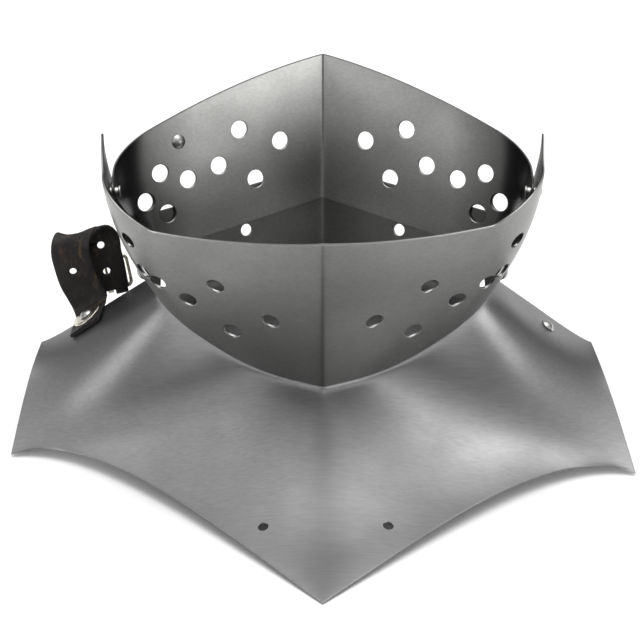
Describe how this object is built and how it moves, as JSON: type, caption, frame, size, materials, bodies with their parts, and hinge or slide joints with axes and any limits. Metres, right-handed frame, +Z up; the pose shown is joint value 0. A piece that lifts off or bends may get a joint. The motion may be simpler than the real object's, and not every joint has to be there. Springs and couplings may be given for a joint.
{
  "type": "bevor with gorget plates",
  "caption": "Steel chin, face and neck guard: a pointed front plate and bib with a rear collar hinged at the ears, breath holes and a leather strap with a wire buckle.",
  "frame": {"origin": "middle of the part's box, on the table that the bib's point and corners stand on", "axes": "-Y towards the front of the wearer's face, +X to the right as seen from the front, +Z up"},
  "size_m": [0.34, 0.318, 0.1775],
  "materials": {
    "plate_steel": "satin",
    "rivet_steel": "satin",
    "buckle_nickel": "satin",
    "strap_leather": "worn"
  },
  "bodies": {
    "front_half": {"front_bib": "plate_steel", "face_plate": "plate_steel", "ear_pivot_right": "rivet_steel", "ear_pivot_left": "rivet_steel", "side_rivets": "rivet_steel", "side_burrs": "rivet_steel", "shoulder_rivet": "rivet_steel", "shoulder_burr": "rivet_steel", "buckle_strap": "strap_leather", "strap_rivet": "rivet_steel", "strap_washer": "buckle_nickel", "strap_burr": "rivet_steel"},
    "rear_half": {"rear_upper_plate": "plate_steel", "rear_collar_plate": "plate_steel", "rear_joint_rivets": "rivet_steel", "rear_joint_burrs": "rivet_steel", "rear_stud": "rivet_steel", "rear_stud_burr": "rivet_steel", "billet_strap": "strap_leather", "billet_rivet": "rivet_steel", "billet_washer": "buckle_nickel", "billet_burr": "rivet_steel"},
    "buckle_frame": {"buckle_frame": "buckle_nickel"},
    "buckle_prong": {"buckle_prong": "buckle_nickel"}
  },
  "joints": [
    {"name": "ear_hinge", "type": "hinge", "parent": "front_half", "child": "rear_half", "pos_m": [0, 0.019, 0.14748], "axis": [1, 0, 0], "range_deg": [0, 50]},
    {"name": "buckle_swing", "type": "hinge", "parent": "front_half", "child": "buckle_frame", "pos_m": [-0.1172, 0.07099, 0.05511], "axis": [-0.9671, -0.2036, -0.1527], "range_deg": [0, 95]},
    {"name": "prong_swing", "type": "hinge", "parent": "buckle_frame", "child": "buckle_prong", "pos_m": [-0.1172, 0.07099, 0.05511], "axis": [-0.9671, -0.2036, -0.1527], "range_deg": [0, 60]}
  ]
}
